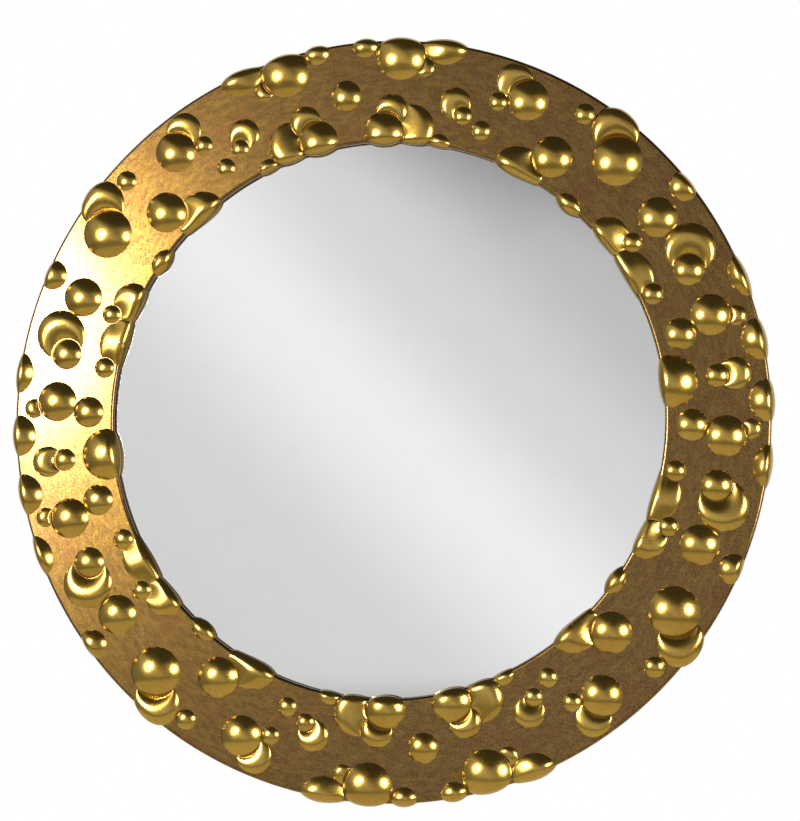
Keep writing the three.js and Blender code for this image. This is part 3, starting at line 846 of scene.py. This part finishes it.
silvering, tree, shader = new_finish("silvered_glass")
out = taken_apart(tree, along_the_ring(tree))[1]
to_edge = maths(tree, "MULTIPLY", out, 1 / (GLASS_RADIUS * MM))
rim = ramp(tree, to_edge, [(0.975, 1), (1, 0.55)])
haze = grain(tree, own_place(tree), 30, 4, 0.6)
tone = darkened(tree, ramp(tree, haze, [(0.3, 0.893), (0.7, 0.907)]), rim)
dressed(tree, shader, tone, ramp(tree, haze, [(0.3, 0.055), (0.7, 0.065)]))
shader.inputs["Metallic"].default_value = 1
glass_mesh.materials.append(silvering)
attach(glass, "frame")
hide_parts("mirror_glass")

# The photographer kept both lamps out of the glass, so the lamps leave the glass out here
kept_out = bpy.data.collections.new("no_lamp_glare")
kept_out.objects.link(glass)
kept_out.collection_objects[0].light_linking.link_state = "EXCLUDE"
for lamp in lamps:
    lamp.light_linking.receiver_collection = kept_out
print("the glass bulges", GLASS_BULGE, "mm")

# %% [markdown]
# The back. Nobody sees it on the wall, but it is what holds the mirror together, so it is made
# as carefully as the front. First a few helpers: a smooth finished piece from points on the
# mirror's own axes, and a shorthand that says what it rides on, replaces and is made of.

# %% Helpers for the pieces of the back
# The level of the backing ring's back, and the middle of its width
BACK_Z = 10.3
BACKING_MIDDLE = 437


def placed(mesh, turn=0.0, at=(0, 0, 0)):
    """The same mesh, turned about its own axis, moved to its place and put in the frame."""
    made = mesh.copy()
    move_points(made, to_frame(turned(points_of(mesh), turn) + np.array(at)))
    return made


def fit(name, mesh, finish, body, replaced, sharp=35):
    """A finished piece of the back, riding on its body."""
    mesh.materials.clear()
    mesh.materials.append(finish)
    mesh.shade_smooth()
    mesh.set_sharp_from_angle(angle=math.radians(sharp))
    piece = linked(name, mesh)
    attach(piece, body)
    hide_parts(replaced)
    return piece


def on_circle(radius, degrees):
    """The x and y of a point on a circle about the mirror's axis."""
    angle = math.radians(degrees)
    return radius * math.cos(angle), radius * math.sin(angle)


def softened(low, high, inner, outer, soft):
    """The section of a flat ring whose four corners are broken by a small chamfer."""
    return [(inner, low + soft), (inner + soft, low), (outer - soft, low), (outer, low + soft),
            (outer, high - soft), (outer - soft, high), (inner + soft, high), (inner, high - soft)]


# %% [markdown]
# The backing ring is cut from birch plywood. On its flat faces one sees the grain of one sheet,
# which runs straight across; on its cut edges one sees the plies as thin light and dark stripes.
# The finish picks one or the other from the direction the surface faces.

# %% Backing ring of plywood
BIRCH_PALE = (0.56, 0.4, 0.23)
BIRCH_DARK = (0.42, 0.27, 0.14)
PLY_PALE = (0.5, 0.35, 0.19)
PLY_DARK = (0.25, 0.14, 0.07)
PLY = 1.5 * MM
BACKING_THICKNESS, BACKING_BORE, BACKING_RADIUS, BACKING_CHAMFER = 15, 384, 490, 0.8
SHEET_STEPS = 360

plywood, tree, shader = new_finish("birch_plywood")
place = own_place(tree)
grown = grain(tree, place, 9, 5, 0.6, (0.7, 12, 12))
pores = grain(tree, place, 90, 3, 0.6, (0.25, 8, 8))
board = blend(tree, ramp(tree, grown, CLOUDY), BIRCH_PALE, BIRCH_DARK)
board = darkened(tree, board, ramp(tree, pores, [(0.35, 0.8), (0.6, 1)]))
depth = taken_apart(tree, place)[1]
stripe = maths(tree, "SINE", maths(tree, "MULTIPLY", depth, math.pi / PLY))
stripe = ramp(tree, maths(tree, "MULTIPLY_ADD", stripe, 0.5, 0.5), [(0.4, 0), (0.6, 1)])
edge = blend(tree, stripe, PLY_PALE, PLY_DARK)
normal = node(tree, "TexCoord").outputs["Normal"]
facing = maths(tree, "ABSOLUTE", taken_apart(tree, normal)[1])
tone = blend(tree, ramp(tree, facing, [(0.45, 0), (0.7, 1)]), edge, board)
dressed(tree, shader, tone, ramp(tree, pores, [(0.3, 0.7), (0.7, 0.55)]))
bumped(tree, shader, pores, 0.3, 0.0003)

section = softened(BACK_Z, BACK_Z + BACKING_THICKNESS, BACKING_BORE, BACKING_RADIUS,
                   BACKING_CHAMFER)
ring = mesh_of("plywood_ring", *turned_solid(section, SHEET_STEPS))
fit("plywood_ring", placed(ring), plywood, "frame", "backing_ring", 30)

# %% [markdown]
# The back panel is a thin disc of hardboard. Hardboard is pressed fibre: brown, nearly even, with
# short pale fibres in it and, on the rough side, the fine mesh of the press.

# %% Back panel of hardboard
BOARD_PALE = (0.16, 0.09, 0.048)
BOARD_DARK = (0.135, 0.075, 0.04)
FIBRE = (0.3, 0.19, 0.11)
# The mesh repeats about every 2 mm; this is in radians to a metre
PRESS_MESH = 2900
PANEL_RADIUS, PANEL_THICKNESS, PANEL_CHAMFER = 383.7, 4, 0.6

hardboard, tree, shader = new_finish("brown_hardboard")
place = own_place(tree)
fibres = grain(tree, place, 260, 4, 0.7, (1, 1, 2.5))
clouds = grain(tree, place, 7, 5, 0.6)
board = blend(tree, ramp(tree, clouds, CLOUDY), BOARD_PALE, BOARD_DARK)
board = blend(tree, ramp(tree, fibres, [(0.52, 0), (0.75, 0.6)]), board, FIBRE)
dressed(tree, shader, board, ramp(tree, fibres, [(0.3, 0.85), (0.7, 0.65)]))
x, y, z = taken_apart(tree, place)
weave = maths(tree, "MULTIPLY", maths(tree, "SINE", maths(tree, "MULTIPLY", x, PRESS_MESH)),
              maths(tree, "SINE", maths(tree, "MULTIPLY", z, PRESS_MESH)))
bumped(tree, shader, maths(tree, "MULTIPLY_ADD", weave, 0.25, fibres), 0.4, 0.0004)

inside, front = PANEL_RADIUS - PANEL_CHAMFER, BACK_Z + PANEL_THICKNESS
disc = [(0, BACK_Z), (inside, BACK_Z), (PANEL_RADIUS, BACK_Z + PANEL_CHAMFER),
        (PANEL_RADIUS, front - PANEL_CHAMFER), (inside, front), (0, front)]
panel = mesh_of("hardboard_panel", *turned_solid(disc, SHEET_STEPS), weld=1e-3)
fit("hardboard_panel", placed(panel), hardboard, "frame", "back_panel", 30)

# %% [markdown]
# The cushion before the glass and the spacer behind it are strips of pressed cork. They hardly
# show, so the measured parts stay and only get the finish: grains of two browns with dark joints.

# %% Cork strips
CORK_PALE = (0.3, 0.17, 0.08)
CORK_BROWN = (0.16, 0.085, 0.04)
CORK_JOINT = (0.05, 0.028, 0.015)
GRAINS_PER_METRE = 420

cork, tree, shader = new_finish("pressed_cork")
place = own_place(tree)
grains = node(tree, "TexVoronoi", {"Scale": GRAINS_PER_METRE}, {"Vector": place})
joints = node(tree, "TexVoronoi", {"Scale": GRAINS_PER_METRE}, {"Vector": place},
              feature="DISTANCE_TO_EDGE").outputs["Distance"]
shade = node(tree, "SeparateColor", plugs={0: grains.outputs["Color"]}).outputs[0]
tone = blend(tree, shade, CORK_PALE, CORK_BROWN)
tone = blend(tree, ramp(tree, joints, [(0, 1), (0.08, 0)]), tone, CORK_JOINT)
dressed(tree, shader, tone, ramp(tree, shade, [(0, 0.9), (1, 0.75)]))
bumped(tree, shader, joints, 0.3, 0.0002)
for name in ("front_cushion", "glass_spacer"):
    bpy.data.objects[name].material_slots[0].material = cork

# %% [markdown]
# The screws and hangers are zinc-plated steel. Zinc plating is a cool grey with cloudy patches, a
# little duller where it was handled.

# %% Zinc-plated steel
ZINC_PALE = (0.6, 0.61, 0.61)
ZINC_DARK = (0.44, 0.45, 0.46)

zinc, tree, shader = new_finish("zinc_plated_steel")
place = own_place(tree)
clouds = grain(tree, place, 160, 3, 0.6)
specks = grain(tree, place, 1500, 3, 0.6)
tone = blend(tree, ramp(tree, clouds, CLOUDY), ZINC_PALE, ZINC_DARK)
tone = darkened(tree, tone, ramp(tree, specks, [(0.3, 0.85), (0.6, 1)]))
dressed(tree, shader, tone, ramp(tree, clouds, [(0.3, 0.28), (0.7, 0.46)]))
shader.inputs["Metallic"].default_value = 1
bumped(tree, shader, specks, 0.12, 0.0001)

# %% [markdown]
# Screws. There are three sizes, all with a pan head and a cross recess. A screw is a section
# turned about its axis, and the recess is a tapered cross cut out of the head.

# %% Three sizes of screw
# Radius and height of the head, radius of the shank, and length under the head
SCREW_SIZES = {
    "casting_screw": (5, 2.6, 2.25, 28),
    "button_screw": (5, 2.6, 2, 16),
    "strap_screw": (3.6, 2, 1.75, 13),
}
# The head's section, as shares of its radius and its height
PAN_HEAD = [(0, 1), (0.3, 0.98), (0.6, 0.9), (0.82, 0.76), (0.95, 0.56), (1, 0.3), (1, 0)]
POINT_LENGTH = 3
# The recess is this much smaller at its bottom, and its bottom is at this share of the height
RECESS_TAPER, RECESS_BOTTOM, ABOVE_HEAD = 0.6, 0.45, 0.5
SCREW_CIRCLE = 452
EIGHTHS = [22.5 + 45 * i for i in range(8)]
# The outline of the recess, as shares of the head's radius
CROSS = [(0.11, 0.11), (0.11, 0.52), (-0.11, 0.52), (-0.11, 0.11), (-0.52, 0.11), (-0.52, -0.11),
         (-0.11, -0.11), (-0.11, -0.52), (0.11, -0.52), (0.11, -0.11), (0.52, -0.11), (0.52, 0.11)]


def screw_mesh(head, height, shank, length):
    """A screw whose head begins at level 0 and whose point is up."""
    pan = [(r * head, -h * height) for r, h in PAN_HEAD]
    shaft = [(shank, 0), (shank, length - POINT_LENGTH), (0, length)]
    body = mesh_of("screw", *turned_solid([*pan, *shaft], steps=48), weld=1e-3)
    wide = [(x * head, y * head, -height - ABOVE_HEAD) for x, y in CROSS]
    low = head * RECESS_TAPER
    narrow = [(x * low, y * low, -height * RECESS_BOTTOM) for x, y in CROSS]
    return combined(body, [("DIFFERENCE", prism("cross", wide, narrow))])


screws = {name: screw_mesh(*sizes) for name, sizes in SCREW_SIZES.items()}


def set_screw(kind, name, x, y, z):
    """A screw with the underside of its head at this place."""
    fit(f"{name}_cross_head", placed(screws[kind], at=(x, y, z)), zinc, "frame", name)


for i, angle in enumerate(EIGHTHS):
    x, y = on_circle(SCREW_CIRCLE, angle + math.degrees(PATTERN_TURN))
    set_screw("casting_screw", f"casting_screw_{i + 1}", x, y, BACK_Z - GAP)
print("eight screws hold the castings")

# %% [markdown]
# Worn brass: clean yellow metal with browner clouds of tarnish, which are also duller, and fine
# scratches that run one way.

# %% Brass
BRASS_CLEAN = (0.68, 0.47, 0.18)
BRASS_TARNISHED = (0.38, 0.24, 0.09)

brass, tree, shader = new_finish("worn_brass")
place = own_place(tree)
tarnish = grain(tree, place, 120, 4, 0.6)
scratches = grain(tree, place, 900, 3, 0.7, (1, 1, 0.15))
tone = blend(tree, ramp(tree, tarnish, [(0.4, 0), (0.7, 1)]), BRASS_CLEAN, BRASS_TARNISHED)
dressed(tree, shader, tone, ramp(tree, tarnish, [(0.35, 0.24), (0.7, 0.5)]))
shader.inputs["Metallic"].default_value = 1
bumped(tree, shader, scratches, 0.12, 0.0001)

# %% [markdown]
# Turn buttons hold the back panel. Each is a flat brass bar with round ends that swivels on its
# screw. Its edges are worn round, which is what catches the light, so the bar is built up from
# its own outline at several levels, a little smaller at the top and the bottom.

# %% Turn buttons
BUTTON_REACH, BUTTON_HALF, BUTTON_THICKNESS, BUTTON_HOLE = 26, 6.5, 3, 2.3
BUTTON_CIRCLE = 396
# How far below the surface, and how far the worn edge is drawn in there
WORN_EDGE = [(0, 0.7), (0.15, 0.3), (0.6, 0)]


def button_mesh():
    """A bar from its screw at the middle to one side, with a round hole for the screw."""
    arc = np.linspace(-math.pi / 2, math.pi / 2, 25)
    outline = [(math.cos(a), math.sin(a), 0) for a in arc]
    outline += [(-nx, -ny, -BUTTON_REACH) for nx, ny, _ in outline]
    levels = WORN_EDGE + [(BUTTON_THICKNESS - depth, inset) for depth, inset in WORN_EDGE[::-1]]
    loops = []
    for level, inset in levels:
        half = BUTTON_HALF - inset
        loops.append([(nx * half + shift, ny * half, level) for nx, ny, shift in outline])
    for level in (BUTTON_THICKNESS, 0):
        hole = []
        for nx, ny, shift in outline:
            way = math.atan2(ny * BUTTON_HALF, nx * BUTTON_HALF + shift)
            hole.append((BUTTON_HOLE * math.cos(way), BUTTON_HOLE * math.sin(way), level))
        loops.append(hole)
    count = len(outline)
    points = [p for loop in loops for p in loop]
    faces = []
    for k in range(len(loops)):
        faces += band(k * count, (k + 1) % len(loops) * count, count)
    return mesh_of("turn_button", points, faces)


button = button_mesh()
for i, angle in enumerate(EIGHTHS):
    x, y = on_circle(BUTTON_CIRCLE, angle)
    low = BACK_Z - GAP - BUTTON_THICKNESS
    name = f"turn_button_{i + 1}"
    mesh = placed(button, math.radians(angle), (x, y, low))
    fit(f"{name}_brass", mesh, brass, name, name)
    set_screw("button_screw", f"button_screw_{i + 1}", x, y, low - GAP)
print("eight turn buttons, each on its own screw")

# %% [markdown]
# Hangers. A steel strap is rolled round the straight bar of a D ring and screwed to the backing
# ring with two screws. The D ring is one bent wire, so it is swept along its path; the strap is a
# bent plate, so its side view is drawn and pushed out to its width, and its edges are broken.

# %% Straps and D rings
HANGER_X = HANGER_Y = BACKING_MIDDLE * math.sqrt(0.5)
ROLL_OUTER, ROLL_INNER, STRAP_HALF, STRAP_LENGTH = 3.8, 2.3, 9, 44
BAR_Z = BACK_Z - GAP - ROLL_OUTER
BORE_HALF = 20
STRAP_SCREW_DROPS = (25, 37)


def strap_mesh():
    """A plate rolled round the bar, which lies at the middle, and hanging down from it."""
    meet = math.asin(ROLL_INNER / ROLL_OUTER)
    turn = np.linspace(math.pi / 2, -math.pi - meet, 49)
    side = [(ROLL_OUTER * math.cos(a), ROLL_OUTER * math.sin(a)) for a in turn]
    side = [(-STRAP_LENGTH, ROLL_OUTER), *side, (-STRAP_LENGTH, ROLL_INNER)]
    outlines = [[(x, y, z) for y, z in side] for x in (-STRAP_HALF, STRAP_HALF)]
    plate = prism("strap", *outlines)
    section = [(0, -BORE_HALF), (ROLL_INNER, -BORE_HALF), (ROLL_INNER, BORE_HALF), (0, BORE_HALF)]
    bore, bore_faces = turned_solid(section, steps=48)
    bore = mesh_of("bore", bore[:, [2, 0, 1]], bore_faces, weld=1e-3)
    return combined(plate, [("DIFFERENCE", bore)])


def d_ring_mesh(radius=16, wire=2, corner=3):
    """A wire of round section along the bar, round a tight corner, over the bow and back."""
    start = math.asin(corner / radius)
    turn = np.linspace(start, math.pi - start, 49)
    bow = [(radius * math.cos(a), radius * math.sin(a)) for a in turn]
    reach = radius * math.cos(start) - corner
    bend = np.linspace(-math.pi / 2, 0, 9)[:-1]
    right = [(reach + corner * math.cos(a), corner + corner * math.sin(a)) for a in bend]
    left = [(-x, y) for x, y in reversed(right)]
    path = np.array(right + bow + left)
    ahead = np.roll(path, -1, 0) - np.roll(path, 1, 0)
    ahead /= np.linalg.norm(ahead, axis=1)[:, None]
    points, faces, around = [], [], 20
    for (x, y), (tx, ty) in zip(path, ahead):
        for k in range(around):
            a = 2 * math.pi * k / around
            aside, up = wire * math.cos(a), wire * math.sin(a)
            points.append((x + aside * ty, y - aside * tx, up))
    for i in range(len(path)):
        faces += band(i * around, (i + 1) % len(path) * around, around)
    return mesh_of("d_ring", points, faces)


strap, d_ring = strap_mesh(), d_ring_mesh()
for side, x in (("left", -HANGER_X), ("right", HANGER_X)):
    at = (x, HANGER_Y, BAR_Z)
    fit(f"bent_strap_{side}", placed(strap, at=at), zinc, "frame", f"hanger_strap_{side}")
    fit(f"bent_wire_ring_{side}", placed(d_ring, at=at), zinc, f"d_ring_{side}",
        f"d_ring_{side}")
    head_level = BAR_Z + ROLL_INNER - GAP
    for i, drop in enumerate(STRAP_SCREW_DROPS):
        name = f"strap_screw_{side}_{i + 1}"
        set_screw("strap_screw", name, x, HANGER_Y - drop, head_level)
print("two hangers")

# %% [markdown]
# Bumpers. Four rubber feet keep the hangers off the wall. Rubber is nearly black, dull and a
# little dusty, and its moulded edges are round.

# %% Rubber bumpers
RUBBER_BLACK = (0.014, 0.014, 0.015)
RUBBER_DUSTY = (0.05, 0.048, 0.045)
# The section of a foot, from the wall up
FOOT = [(0, 0), (7.2, 0), (8.0, 0.2), (8.5, 0.7), (8.7, 1.3), (10, 9.8), (9.8, 10), (0, 10)]
FOOT_ANGLES = {"upper_left": 100, "upper_right": 80, "lower_left": -125, "lower_right": -55}

rubber, tree, shader = new_finish("black_rubber")
place = own_place(tree)
dust = grain(tree, place, 220, 4, 0.65)
tone = blend(tree, ramp(tree, dust, [(0.45, 0), (0.75, 0.8)]), RUBBER_BLACK, RUBBER_DUSTY)
dressed(tree, shader, tone, ramp(tree, dust, [(0.3, 0.6), (0.7, 0.85)]))
bumped(tree, shader, grain(tree, place, 1400, 2, 0.5), 0.2, 0.0002)

foot = mesh_of("foot", *turned_solid(FOOT, steps=64), weld=1e-3)
for name, angle in FOOT_ANGLES.items():
    x, y = on_circle(BACKING_MIDDLE, angle)
    fit(f"rubber_foot_{name}", placed(foot, at=(x, y, 0)), rubber, "frame",
        f"bumper_{name}", 50)
print(len(FOOT_ANGLES), "rubber feet")
